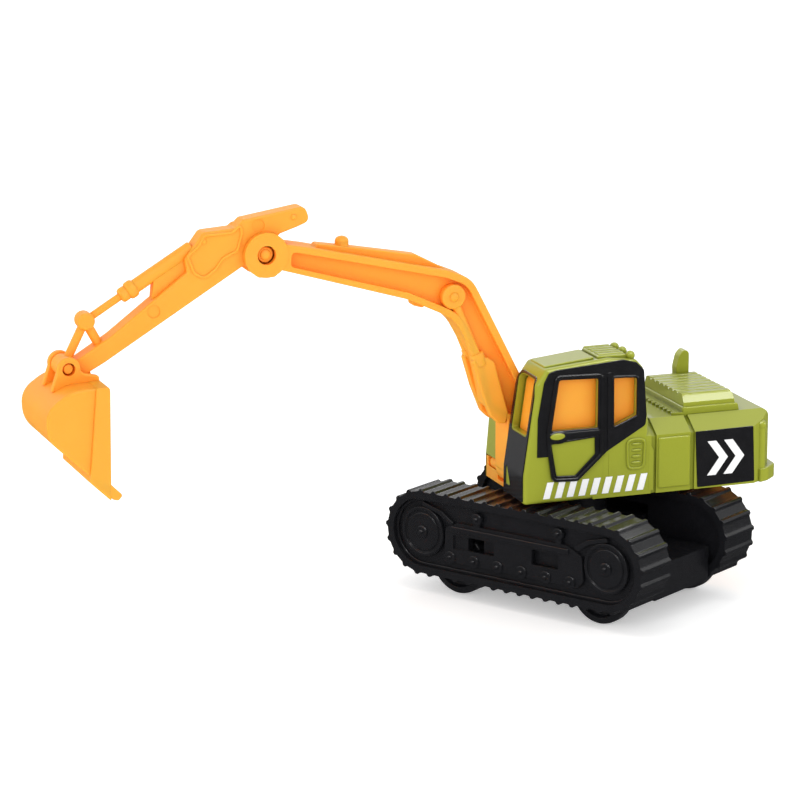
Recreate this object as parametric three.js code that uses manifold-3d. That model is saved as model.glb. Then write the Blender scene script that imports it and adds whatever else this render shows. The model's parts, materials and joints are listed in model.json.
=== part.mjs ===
// Die-cast toy excavator on hidden free-rolling wheels, with a plastic digging arm.
// Millimetres, +Z up. The upper body faces -X, its cab is on the -Y side, and the
// crawler undercarriage stands turned under it. The swing axis is the Z axis while
// the pieces are made, and the finished group is then centred over its own base.

import * as THREE from 'three';
import { mergeVertices } from 'three/addons/utils/BufferGeometryUtils.js';
import Module from 'manifold-3d';

const wasm = await Module();
wasm.setup();

// ---- driving dimensions ----

const GAP = 0.3;              // air left between pieces that touch on the real toy
const WALL = 1.3;             // wall of the die-cast body
const PLASTIC_WALL = 1.4;     // wall of the plastic mouldings
const ROUND = 24;             // sides of a round piece
const SMALLEST_FILLET = 0.05; // a corner rounded by less than this stays sharp

const YAW = -57.66;           // degrees the undercarriage is turned from straight ahead
const SPROCKET_SPACING = 44.3;
const TRACK_RADIUS = 9;
const TRACK_AXIS_Z = 12.4;
const TRACK_OUTER = 20.1;     // track's outer face, measured sideways from the middle
const TRACK_INNER = 9.95;
const SHOES = 45;
const SHOE_RIB = 0.5;

const CHASSIS = { halfLength: 27, halfWidth: 9.55, bottom: 4.5, top: 11.4 };
const WHEEL_RADIUS = 6.5;
const WHEEL_FACE = 16.5;
const WHEEL_WIDTH = 3;
const AXLE_RADIUS = 0.8;
const FRONT_AXLE = -15.6;
const REAR_AXLE = 18.4;
const BASE_SCREWS = [-22, 22];
const TURNTABLE_RADIUS = 7.5;
const SPIGOT_RADIUS = 3.7;

const BODY_BOTTOM = 22.2;
const BODY_HALF_WIDTH = 13.85;
const DECK_Z = 36.6;
const SHOULDER_Z = 34;
const PLATE_TOP = BODY_BOTTOM + 1.9;
const CAB_FRONT = -15.7;
const CAB_REAR = 10.9;
const CAB_RIGHT = -3.5;
const ROOF_Z = 50.4;
const SLOT_RIGHT = 4;
const SLOT_REAR = -5;
const BODY_FRONT = -14;
const BODY_REAR = 39.6;
const FRONT_OPENING_Z = 26.9;
const FRONT_OPENING_RIGHT = 10.4;
const HOOD = { front: 20, rear: 31.6, halfWidth: 10.6, top: 40.4, ribs: 6, ribPitch: 3.5 };
const BODY_SCREWS = [15, 33];

const ARM_Y = 0.25;           // middle plane of the arm, in the middle of the boom's slot
const BOOM_FOOT = [-12.6, 25.5];
const STICK_PIVOT = [-64.5, 73.6];
const BUCKET_PIVOT = [-103.9, 54.6];
const BOOM_HALF = 3.35;
const STICK_HALF = 2;
const BUCKET_HALF = 10;
const EAR_HALF = 3.8;

// ---- solids ----

const X = new THREE.Vector3(1, 0, 0);
const Y = new THREE.Vector3(0, 1, 0);
const Z = new THREE.Vector3(0, 0, 1);

function solid(geometry) {
  geometry.deleteAttribute('normal');
  geometry.deleteAttribute('uv');
  const merged = mergeVertices(geometry, 1e-4);
  return new wasm.Manifold(new wasm.Mesh({
    numProp: 3,
    vertProperties: new Float32Array(merged.attributes.position.array),
    triVerts: new Uint32Array(merged.index.array),
  }));
}

// Corners are [u, v] or [u, v, radius]; a corner with a radius is rounded off.
function outline(corners) {
  const shape = new THREE.Shape();
  corners.forEach(([u, v, radius = 0], i) => {
    const here = new THREE.Vector2(u, v);
    const before = new THREE.Vector2(...corners.at(i - 1).slice(0, 2)).sub(here);
    const after = new THREE.Vector2(...corners[(i + 1) % corners.length].slice(0, 2)).sub(here);
    const halfTurn = before.angleTo(after) / 2;
    const reach = Math.min(radius / Math.tan(halfTurn), 0.49 * Math.min(before.length(), after.length()));
    const rounded = reach > SMALLEST_FILLET;
    const from = rounded ? here.clone().add(before.setLength(reach)) : here;
    const to = here.clone().add(after.setLength(reach));
    if (i === 0) shape.moveTo(from.x, from.y);
    else shape.lineTo(from.x, from.y);
    if (rounded) shape.quadraticCurveTo(u, v, to.x, to.y);
  });
  return shape;
}

// An outline's u, v and its thickness run along the three given axes.
function prism(shape, u, v, along, from, to, curveSegments = 4) {
  const geometry = new THREE.ExtrudeGeometry(shape, { depth: to - from, bevelEnabled: false, curveSegments });
  geometry.applyMatrix4(new THREE.Matrix4().makeBasis(u, v, along));
  geometry.translate(along.x * from, along.y * from, along.z * from);
  return solid(geometry);
}

// A side view, x and z, with its thickness from y = from to y = to.
function prismY(corners, from, to, curveSegments = 4) {
  const shape = Array.isArray(corners) ? outline(corners) : corners;
  return prism(shape, X, Z, Y.clone().negate(), -to, -from, curveSegments);
}

// A front view, y and z, with its length from x = from to x = to.
function prismX(corners, from, to) {
  return prism(outline(corners), Y, Z, X, from, to);
}

// A plan, x and y, with its height from z = from to z = to.
function prismZ(corners, from, to) {
  return prism(outline(corners), X, Y, Z, from, to);
}

function block(x0, x1, y0, y1, z0, z1) {
  const geometry = new THREE.BoxGeometry(x1 - x0, y1 - y0, z1 - z0);
  geometry.translate((x0 + x1) / 2, (y0 + y1) / 2, (z0 + z1) / 2);
  return solid(geometry);
}

function rodY(x, z, radius, from, to, sides = ROUND) {
  const geometry = new THREE.CylinderGeometry(radius, radius, to - from, sides);
  geometry.translate(x, (from + to) / 2, z);
  return solid(geometry);
}

function rodZ(x, y, radius, from, to, sides = ROUND) {
  const geometry = new THREE.CylinderGeometry(radius, radius, to - from, sides);
  geometry.rotateX(Math.PI / 2);
  geometry.translate(x, y, (from + to) / 2);
  return solid(geometry);
}

// A round bar between two points of the side view, lying in the arm's middle plane.
function bar([x0, z0], [x1, z1], radius, sides = 10) {
  const start = new THREE.Vector3(x0, ARM_Y, z0);
  const run = new THREE.Vector3(x1, ARM_Y, z1).sub(start);
  const geometry = new THREE.CylinderGeometry(radius, radius, run.length(), sides);
  geometry.translate(0, run.length() / 2, 0);
  geometry.applyQuaternion(new THREE.Quaternion().setFromUnitVectors(Y, run.clone().normalize()));
  geometry.translate(start.x, start.y, start.z);
  return solid(geometry);
}

function join(...solids) {
  return solids.reduce((all, one) => all.add(one));
}

function cut(body, ...tools) {
  return tools.reduce((left, tool) => left.subtract(tool), body);
}

// ---- materials ----

const GREEN = { color: '#a2ac37', roughness: 0.35, metalness: 0.25 };
const ORANGE = { color: '#fdac34', roughness: 0.45, metalness: 0 };
const BLACK = { color: '#1e1f23', roughness: 0.3, metalness: 0 };
const STEEL = { color: '#9a9a9c', roughness: 0.3, metalness: 1 };

function piece(name, shape, finish) {
  const made = shape.getMesh();
  const geometry = new THREE.BufferGeometry();
  geometry.setAttribute('position', new THREE.BufferAttribute(made.vertProperties, 3));
  geometry.setIndex(new THREE.BufferAttribute(made.triVerts, 1));
  geometry.computeVertexNormals();
  const mesh = new THREE.Mesh(geometry, new THREE.MeshStandardMaterial(finish));
  mesh.name = name;
  return mesh;
}

// ---- undercarriage: x runs along the tracks and y across them ----

const SHOE_ROOT = TRACK_RADIUS - SHOE_RIB;

// The point at a distance along a track loop whose round ends have the given radius.
function loopPoint(share, radius) {
  const straight = SPROCKET_SPACING;
  const half = straight + Math.PI * SHOE_ROOT;
  const distance = share * 2 * half;
  const side = distance < half ? 1 : -1;
  const rest = distance % half;
  if (rest < straight) {
    return [side * (rest - straight / 2), TRACK_AXIS_Z - side * radius];
  }
  const turn = (rest - straight) / SHOE_ROOT - Math.PI / 2;
  return [
    side * (straight / 2 + radius * Math.cos(turn)),
    TRACK_AXIS_Z + side * radius * Math.sin(turn),
  ];
}

// One shoe is a flat pad with one rounded rib across it.
function shoeLoop() {
  const profile = [[0, 0], [0.42, 0], [0.56, SHOE_RIB], [0.82, SHOE_RIB]];
  const corners = [];
  for (let shoe = 0; shoe < SHOES; shoe += 1) {
    profile.forEach(([part, rise]) => corners.push(loopPoint((shoe + part) / SHOES, SHOE_ROOT + rise)));
  }
  return outline(corners);
}

function plainLoop(radius) {
  const shape = new THREE.Shape();
  shape.absarc(SPROCKET_SPACING / 2, TRACK_AXIS_Z, radius, -Math.PI / 2, Math.PI / 2, false);
  shape.absarc(-SPROCKET_SPACING / 2, TRACK_AXIS_Z, radius, Math.PI / 2, 1.5 * Math.PI, false);
  return shape;
}

// A tub open towards the chassis, with two windows in its face and slots for the wheels.
function trackMoulding(side) {
  const face = side * TRACK_OUTER;
  const mouth = side * TRACK_INNER;
  const span = (a, b) => [Math.min(a, b), Math.max(a, b)];
  const shell = prismY(shoeLoop(), ...span(face, mouth));
  const hollow = prismY(plainLoop(SHOE_ROOT - PLASTIC_WALL), ...span(face - side * 1.6, mouth - side), 12);
  const slotHalf = WHEEL_RADIUS + GAP;
  const windows = [-7.9, 7.6].map((x) => (
    block(x - 3.1, x + 3.1, ...span(face + side, face - side * 3), 10.5, 13.5)
  ));
  const slots = [FRONT_AXLE, REAR_AXLE].map((x) => (
    block(x - slotHalf, x + slotHalf, ...span(side * (WHEEL_FACE + 0.6), mouth - side), 2, 6)
  ));
  return cut(shell, hollow, ...windows, ...slots);
}

function chassisFrame() {
  const { halfLength, halfWidth, bottom, top } = CHASSIS;
  const shell = block(-halfLength, halfLength, -halfWidth, halfWidth, bottom, top);
  const hollow = block(1.5 - halfLength, halfLength - 1.5, 1.5 - halfWidth, halfWidth - 1.5, 0, top - 1.5);
  const boss = rodZ(0, 0, TURNTABLE_RADIUS, top - 1, BODY_BOTTOM - GAP);
  const tongue = block(-8, 11, -18.1, 18.1, 5.3, 15);
  const tongueGap = block(-10, 12, 1.5 - halfWidth, halfWidth - 1.5, 0, top - 1.5);
  const tongueTop = block(-10, 12, -halfWidth, halfWidth, top, 16);
  const posts = BASE_SCREWS.map((x) => rodZ(x, 0, 2.2, bottom + 1.6, top - 1));
  const pilots = BASE_SCREWS.map((x) => rodZ(x, 0, 0.85, 0, top - 1.8, 12));
  const bores = [FRONT_AXLE, REAR_AXLE].map((x) => rodY(x, WHEEL_RADIUS, AXLE_RADIUS + GAP, -12, 12, 16));
  const frame = join(cut(shell, hollow), cut(tongue, tongueGap, tongueTop), boss, ...posts);
  return cut(frame, rodZ(0, 0, SPIGOT_RADIUS + GAP, 0, 30), ...pilots, ...bores);
}

function chassisBasePlate() {
  const { halfLength, halfWidth, bottom } = CHASSIS;
  const edge = 1.5 + GAP;
  const [length, width] = [halfLength - edge, halfWidth - edge];
  const plate = block(-length, length, -width, width, bottom, bottom + 1.2);
  const grooves = [FRONT_AXLE, REAR_AXLE].map((x) => rodY(x, WHEEL_RADIUS, AXLE_RADIUS + GAP, -12, 12, 16));
  const holes = BASE_SCREWS.map((x) => rodZ(x, 0, 1.1, 0, 10, 14));
  const seats = BASE_SCREWS.map((x) => rodZ(x, 0, 2.1, 0, bottom + 0.7, 18));
  return cut(plate, ...grooves, ...holes, ...seats);
}

// A pan-head screw standing on its head.
function screw(x, y, headRadius, shankRadius, bottom, headHeight, tip) {
  const profile = [
    [0, bottom],
    [headRadius * 0.8, bottom],
    [headRadius, bottom + headHeight * 0.4],
    [headRadius, bottom + headHeight],
    [shankRadius, bottom + headHeight],
    [shankRadius, tip - shankRadius],
    [0, tip],
  ];
  const points = profile.map(([r, z]) => new THREE.Vector2(r, z));
  const geometry = new THREE.LatheGeometry(points, 16);
  geometry.rotateX(Math.PI / 2);
  geometry.translate(x, y, 0);
  const reach = headRadius * 0.7;
  const slot = block(x - reach, x + reach, y - 0.25, y + 0.25, bottom - 1, bottom + 0.4);
  return cut(solid(geometry), slot);
}

function wheel(x, side) {
  const half = WHEEL_WIDTH / 2;
  const bore = AXLE_RADIUS + GAP;
  const profile = [
    [bore, -half], [2.2, -half], [2.2, 0.9 - half], [5, 0.9 - half], [5, -half],
    [WHEEL_RADIUS - 0.4, -half], [WHEEL_RADIUS, 0.4 - half], [WHEEL_RADIUS, half - 0.4],
    [WHEEL_RADIUS - 0.4, half], [bore, half], [bore, -half],
  ];
  const points = profile.map(([r, w]) => new THREE.Vector2(r, w));
  const geometry = new THREE.LatheGeometry(points, ROUND);
  if (side > 0) geometry.rotateX(Math.PI);
  geometry.translate(x, side * (WHEEL_FACE - half), WHEEL_RADIUS);
  return solid(geometry);
}

function undercarriage() {
  const group = new THREE.Group();
  group.rotation.z = THREE.MathUtils.degToRad(YAW);
  group.add(piece('chassis_frame', chassisFrame(), BLACK));
  group.add(piece('chassis_base_plate', chassisBasePlate(), BLACK));
  group.add(piece('track_left', trackMoulding(-1), BLACK));
  group.add(piece('track_right', trackMoulding(1), BLACK));
  for (const [end, x] of [['front', FRONT_AXLE], ['rear', REAR_AXLE]]) {
    const axle = rodY(x, WHEEL_RADIUS, AXLE_RADIUS, -WHEEL_FACE - 0.4, WHEEL_FACE + 0.4, 16);
    group.add(piece(`${end}_axle`, axle, STEEL));
    group.add(piece(`${end}_wheel_left`, wheel(x, -1), BLACK));
    group.add(piece(`${end}_wheel_right`, wheel(x, 1), BLACK));
  }
  for (const [end, x] of [['front', BASE_SCREWS[0]], ['rear', BASE_SCREWS[1]]]) {
    const shape = screw(x, 0, 1.8, 0.7, CHASSIS.bottom, 0.7 - GAP, 8.8);
    group.add(piece(`chassis_screw_${end}`, shape, STEEL));
  }
  return group;
}

// ---- upper body ----

const BODY_PLAN = [
  [BODY_FRONT, -8], [BODY_FRONT, FRONT_OPENING_RIGHT], [-10.5, BODY_HALF_WIDTH],
  [34, BODY_HALF_WIDTH], [36.6, 12.4], [39.1, 9.5, 2], [BODY_REAR, 0],
  [39.1, -9.5, 2], [36.6, -12.4], [34, -BODY_HALF_WIDTH], [-1, -BODY_HALF_WIDTH], [-1, -8],
];

// The engine body and counterweight, shrunk all round by an inset; an inset one is open below.
function engineBody(inset) {
  const floor = inset > 0 ? BODY_BOTTOM - 5 : BODY_BOTTOM;
  const half = BODY_HALF_WIDTH - inset;
  const top = DECK_Z - inset;
  const middle = (BODY_FRONT + BODY_REAR) / 2;
  const plan = prismZ(BODY_PLAN, floor, top)
    .translate(-middle, 0, 0)
    .scale([1 - (2 * inset) / (BODY_REAR - BODY_FRONT), 1 - inset / BODY_HALF_WIDTH, 1])
    .translate(middle, 0, 0);
  const section = prismX([
    [-half, floor], [-half, SHOULDER_Z - inset / 2], [-10.1, top], [10.1, top],
    [half, SHOULDER_Z - inset / 2], [half, floor],
  ], -30, 50);
  const side = prismY([
    [BODY_FRONT + inset, floor], [BODY_FRONT + inset, FRONT_OPENING_Z], [inset - 12.6, top],
    [BODY_REAR - 1.6 - inset, top, 0.8], [BODY_REAR - inset, top - 1.6, 0.8], [BODY_REAR - inset, floor],
  ], -20, 20);
  return plan.intersect(section).intersect(side);
}

function cabBlock(inset, floor) {
  return prismY([
    [CAB_FRONT + inset, floor], [CAB_FRONT + inset, 28.1, 6], [inset * 0.9 - 13.1, 46.2 - inset * 0.4, 2],
    [inset * 0.6 - 11, ROOF_Z - 1.2 - inset, 1], [2, ROOF_Z - inset, 3],
    [8 - inset * 0.6, ROOF_Z - 0.6 - inset, 2], [9.8 - inset, 47.8 - inset * 0.4, 2],
    [CAB_REAR - inset, 37], [CAB_REAR - inset, floor],
  ], inset - BODY_HALF_WIDTH, CAB_RIGHT - inset);
}

// Both side walls of the cab have these two openings.
function sideWindows() {
  const front = [[-10.1, 36.7, 0.6], [-0.1, 36.7, 0.6], [-0.1, 46.6, 0.8], [-8.5, 46.9, 0.8]];
  const rear = [[3.4, 36.7, 0.6], [4.2, 36.8, 0.5], [8.2, 38.8, 0.5], [8.2, 46.1, 0.8], [3.2, 46.4, 0.6]];
  return join(...[front, rear].map((corners) => prismY(corners, -16, -2, 2)));
}

function windscreen() {
  return prismX([[-12.3, 35.9, 0.6], [-4.8, 35.9, 0.6], [-4.8, 46.8, 1], [-12.3, 46.8, 1]], -18, -11.2);
}

function roofFittings() {
  const panel = block(-11.2, 0, -12, -5, ROOF_Z - 1.6, ROOF_Z - 0.35);
  const ribbedCover = block(0.4, 6.2, -12.9, -4.4, ROOF_Z - 1, ROOF_Z + 0.5);
  const lamps = [-12.2, -8.4, -4.6].map((y) => {
    const geometry = new THREE.SphereGeometry(0.9, 8, 6);
    geometry.translate(7.3, y, ROOF_Z + 0.3);
    return solid(geometry);
  });
  return join(panel, ribbedCover, ...lamps);
}

function hood() {
  const { front, rear, halfWidth, top, ribs, ribPitch } = HOOD;
  const base = DECK_Z - 0.5;
  const cover = prismY([
    [front, base], [front, top, 0.4], [rear - 1.2, top, 0.5], [rear, top - 1, 0.5], [rear + 1, base],
  ], -halfWidth, halfWidth);
  const ridges = Array.from({ length: ribs }, (_, i) => {
    const y = (i - (ribs - 1) / 2) * ribPitch;
    return block(front + 0.2, rear - 1.4, y - 1.2, y + 1.2, top - 0.3, top + 0.5);
  });
  return join(cover, ...ridges);
}

function exhaust() {
  return prismY([
    [26.7, 40], [26.6, 42, 1], [27.2, 44.3, 1], [28.1, 45.3, 0.6], [29.2, 44.8, 0.8], [29.2, 40],
  ], 8.1, 9.9);
}

function houseBody() {
  const floor = BODY_BOTTOM;
  const outside = join(engineBody(0), cabBlock(0, floor), roofFittings(), hood(), exhaust());
  const slotWalls = block(-20, SLOT_REAR + WALL, CAB_RIGHT - WALL, SLOT_RIGHT + WALL, PLATE_TOP + GAP, 60);
  const cabHollow = cabBlock(WALL, floor - 5);
  const hollow = join(cut(engineBody(WALL), slotWalls), cabHollow);
  const slot = block(-25, SLOT_REAR, CAB_RIGHT, SLOT_RIGHT, 10, 60);
  const frontOpening = block(-25, -10.2, CAB_RIGHT, FRONT_OPENING_RIGHT, 10, FRONT_OPENING_Z);
  const pinNotch = block(-14.4, -10.2, -8, 0, 10, FRONT_OPENING_Z);
  const underWall = block(-14.4, SLOT_REAR + 5, CAB_RIGHT - WALL - 1, SLOT_RIGHT, 10, PLATE_TOP + GAP);
  const shell = cut(outside, hollow, slot, frontOpening, pinNotch, underWall, sideWindows(), windscreen());
  const posts = BODY_SCREWS.map((x) => rodZ(x, 0, 2.5, PLATE_TOP + GAP, DECK_Z - 0.8, 18));
  const pilots = BODY_SCREWS.map((x) => rodZ(x, 0, 0.9, 0, 31, 12));
  return cut(join(shell, ...posts), ...pilots);
}

// One moulding fills all the window openings from inside; it is hollow and open below.
function cabWindowInsert() {
  const skin = WALL + GAP;
  const belowWindows = block(-20, 20, -20, 20, 0, 31);
  return cut(cabBlock(skin, PLATE_TOP), cabBlock(skin + 1.2, BODY_BOTTOM), belowWindows);
}

// The floor of the body: it carries the swing spigot, and its front edge has the two
// bearing blocks that the boom's trunnion pins turn in.
function houseBasePlate() {
  const clear = WALL + GAP;
  const half = BODY_HALF_WIDTH - clear;
  const openingEdge = FRONT_OPENING_RIGHT - GAP;
  const plate = prismZ([
    [BODY_FRONT, -half], [BODY_FRONT, openingEdge], [-11.4, openingEdge], [-9.1, half],
    [33.5, half], [36, 10.6], [37.6, 8], [37.6, -8], [36, -10.6], [33.5, -half],
  ], BODY_BOTTOM, PLATE_TOP);
  const [x, z] = BOOM_FOOT;
  const rightBlock = block(BODY_FRONT, x + 2, SLOT_RIGHT + 0.2, openingEdge, BODY_BOTTOM, z + 1.1);
  const leftBlock = block(BODY_FRONT, x + 2, -7.4, CAB_RIGHT - 0.2, BODY_BOTTOM, z + 1.1);
  const bearing = rodY(x, z, 1.3 + GAP, -6.9, 9, 16);
  const bearingMouth = block(x - 1.6, x + 1.6, -6.9, 9, z, z + 3);
  const footPocket = block(-16, x + 3.2, CAB_RIGHT, SLOT_RIGHT, BODY_BOTTOM + 0.9, 30);
  const spigot = rodZ(0, 0, SPIGOT_RADIUS, CHASSIS.top - 1.8, BODY_BOTTOM + 0.5);
  const hub = rodZ(0, 0, SPIGOT_RADIUS, PLATE_TOP - 0.5, PLATE_TOP + 4);
  const bore = rodZ(0, 0, 1 + GAP, 0, PLATE_TOP + 3, 14);
  const screwHoles = BODY_SCREWS.map((sx) => rodZ(sx, 0, 1.1, 0, 30, 14));
  const screwSeats = BODY_SCREWS.map((sx) => rodZ(sx, 0, 2.2, 0, BODY_BOTTOM + 1, 18));
  return cut(
    join(plate, rightBlock, leftBlock, spigot, hub),
    bearing, bearingMouth, footPocket, bore, ...screwHoles, ...screwSeats,
  );
}

function upperBody() {
  const group = new THREE.Group();
  group.add(piece('house_body', houseBody(), GREEN));
  group.add(piece('cab_window_insert', cabWindowInsert(), ORANGE));
  group.add(piece('house_base_plate', houseBasePlate(), ORANGE));
  const washerTop = CHASSIS.top - 1.8 - GAP;
  const washer = cut(rodZ(0, 0, 5.2, washerTop - 0.8, washerTop, 24), rodZ(0, 0, 1.3, 0, 20, 14));
  group.add(piece('swing_washer', washer, STEEL));
  group.add(piece('swing_screw', screw(0, 0, 2.2, 1, washerTop - 2.2, 1.1, PLATE_TOP + 2), STEEL));
  for (const [end, x] of [['front', BODY_SCREWS[0]], ['rear', BODY_SCREWS[1]]]) {
    group.add(piece(`body_screw_${end}`, screw(x, 0, 1.9, 0.75, BODY_BOTTOM - 0.1, 0.8, 30), STEEL));
  }
  return group;
}

// ---- digging arm: side views, all in the rest pose ----

// The boom's own beam, without the two dummy cylinders that are moulded on it.
const BOOM_BEAM = [
  [-62, 70.5], [-61.5, 75.4], [-55.8, 74.4], [-27.3, 67.9, 7], [-20.4, 61.2, 5], [-9.3, 40.4, 3],
  [-9.6, 37], [-10.5, 25.5], [-14.7, 25.5], [-14.7, 36.6], [-22, 41.5], [-24.4, 52, 6], [-28.2, 59.2, 5],
  [-36, 62.8],
];

// The recessed web on each face of the beam, which leaves it an I section.
const BOOM_WEB = [
  [-59.4, 71.2, 1], [-59.4, 73.6, 1], [-28, 66.5, 5], [-22, 60.8, 4], [-11.6, 41],
  [-19.5, 41], [-23, 52, 5], [-27, 60.2, 5], [-36, 63.9],
];

function boom() {
  const near = ARM_Y - BOOM_HALF;
  const far = ARM_Y + BOOM_HALF;
  const beam = prismY(BOOM_BEAM, near, far);
  const webs = [prismY(BOOM_WEB, near - 1, near + 1.6), prismY(BOOM_WEB, far - 1.6, far + 1)];
  const forkEnd = rodY(...STICK_PIVOT, 4.3, near, far, 24);
  const foot = rodY(...BOOM_FOOT, 2.1, near, far, 20);
  const trunnion = rodY(...BOOM_FOOT, 1.3, -6.4, 8.5, 16);
  const stickCylinder = prismY([
    [-54, 73.5], [-52.9, 74.6, 0.5], [-34.5, 71.4, 0.6], [-27.6, 67.6], [-30, 66.5],
  ], ARM_Y - 1.5, ARM_Y + 1.5);
  const peg = rodZ(-48.2, ARM_Y, 1.3, 71, 75.4, 12);
  const liftCylinders = [near, far - 1.5].map((y) => prismY([
    [-24.5, 50.2, 1], [-22.7, 43.8], [-20.4, 38.5, 2], [-17.6, 36.6, 1], [-14.9, 38], [-18.8, 50, 1],
  ], y, y + 1.5));
  const liftRods = [near, far - 1.5].map((y) => prismY([
    [-22.7, 49], [-27.3, 60.6], [-25.3, 61.4], [-20.7, 49],
  ], y, y + 1.5));
  const bosses = rodY(-26.3, 60.9, 2.1, near, far, 20);
  const forkGap = join(
    rodY(...STICK_PIVOT, 4.9, ARM_Y - STICK_HALF - GAP, ARM_Y + STICK_HALF + GAP, 24),
    block(-75, STICK_PIVOT[0], ARM_Y - STICK_HALF - GAP, ARM_Y + STICK_HALF + GAP, 60, 85),
  );
  const forkBore = rodY(...STICK_PIVOT, 1.85, -10, 10, 18);
  const whole = join(cut(beam, ...webs), forkEnd, foot, trunnion, stickCylinder, peg, bosses);
  return cut(join(whole, ...liftCylinders, ...liftRods), forkGap, forkBore);
}

const STICK_BEAM = [
  [-61.6, 77.3], [-57.1, 78.8, 1], [-54.6, 80.4, 1.6], [-56, 82.3, 1.6], [-68.2, 80.6],
  [-70.4, 79, 1], [-76.4, 78.8, 1], [-77.9, 75.8], [-80.6, 73.6], [-83, 68.8], [-101.5, 56.2],
  [-105.6, 54, 1], [-103.8, 52.6, 1], [-99.5, 52.8, 1], [-96.3, 54.9], [-68.4, 71.6],
];

function stick() {
  const near = ARM_Y - STICK_HALF;
  const far = ARM_Y + STICK_HALF;
  const beam = prismY(STICK_BEAM, near, far);
  const hub = rodY(...STICK_PIVOT, 3.9, near, far, 24);
  const neck = prismY([[-68.4, 71.6], [-68.2, 79], [-61.6, 77.3], [-62, 72]], near, far);
  const tip = rodY(...BUCKET_PIVOT, 2, near, far, 18);
  const pegs = rodY(...STICK_PIVOT, 1.5, ARM_Y - BOOM_HALF, ARM_Y + BOOM_HALF, 16);
  const tipPegs = rodY(...BUCKET_PIVOT, 0.95, ARM_Y - EAR_HALF + 0.5, ARM_Y + EAR_HALF - 0.5, 14);
  const cylinder = bar([-78.5, 75.6], [-90.2, 68.4], 1.2);
  const cylinderWeb = prismY([[-79, 74.5], [-86.8, 69.8], [-86, 66.8], [-81, 70]], ARM_Y - 0.8, ARM_Y + 0.8);
  const collar = bar([-89.9, 68.6], [-92.6, 66.9], 1.5);
  const pushRod = bar([-92.4, 67.1], [-99.5, 63], 0.65, 8);
  const knuckle = rodY(-99.6, 63, 1.6, ARM_Y - 1.6, ARM_Y + 1.6, 14);
  const link = bar([-99.8, 62.4], [-103.5, 55.6], 0.8, 8);
  const strut = bar([-99.3, 62.6], [-96.6, 57.6], 0.8, 8);
  return join(
    beam, hub, neck, tip, pegs, tipPegs, cylinder, cylinderWeb, collar, pushRod, knuckle, link, strut,
  );
}

// The bucket's side view, shrunk by an inset; an inset one reaches out through the mouth.
function bucketProfile(inset) {
  const mouth = inset > 0 ? -90 : -97.7;
  return [
    [mouth, 52 - inset, inset > 0 ? 0 : 0.8], [-104.5, 51.8 - inset, 3], [inset - 109.5, 48.6, 3.5],
    [inset - 109.4, 42.6 + inset * 0.5, 3], [-98.5, 31.9 + inset * 1.41],
    [mouth, (inset > 0 ? 31.9 : 31.1) + inset * 1.41],
  ];
}

const EAR_WEB = [[-97.9, 51.5], [-97.9, 53.4, 0.4], [-101, 54.4], [-105.9, 54.6], [-107, 51]];
const EAR_WIDTH = EAR_HALF - STICK_HALF - GAP;

function bucket() {
  const near = ARM_Y - BUCKET_HALF;
  const far = ARM_Y + BUCKET_HALF;
  const shell = prismY(bucketProfile(0), near + 0.5, far - 0.5);
  const collar = prismY([
    [-97.7, 52, 0.8], [-100.4, 52], [-101.9, 33.9], [-97.9, 30.2],
  ], near, far);
  const lip = prismY([
    [-101.5, 34.7], [-97.3, 30.4], [-96.6, 30.1, 0.5], [-95.6, 31, 0.5], [-99.6, 35],
  ], near, far);
  const hollow = prismY(bucketProfile(1.2), near + 1.7, far - 1.7);
  const ears = [ARM_Y - EAR_HALF, ARM_Y + STICK_HALF + GAP].map((from) => {
    const web = prismY(EAR_WEB, from, from + EAR_WIDTH);
    return web.add(rodY(...BUCKET_PIVOT, 2.2, from, from + EAR_WIDTH, 20));
  });
  const pinHoles = rodY(...BUCKET_PIVOT, 1.27, -10, 10, 16);
  return cut(join(cut(join(shell, collar), hollow), lip, ...ears), pinHoles);
}

function arm() {
  const group = new THREE.Group();
  group.add(piece('boom', boom(), ORANGE));
  group.add(piece('stick', stick(), ORANGE));
  group.add(piece('bucket', bucket(), ORANGE));
  return group;
}

const excavator = new THREE.Group();
excavator.add(undercarriage(), upperBody(), arm());
excavator.updateMatrixWorld(true);
const box = new THREE.Box3().setFromObject(excavator, true);
const middle = box.getCenter(new THREE.Vector3());
excavator.position.set(-middle.x, -middle.y, -box.min.z);

export default excavator;
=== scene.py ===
import json
import math
import bpy
from mathutils import Matrix, Vector


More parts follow.
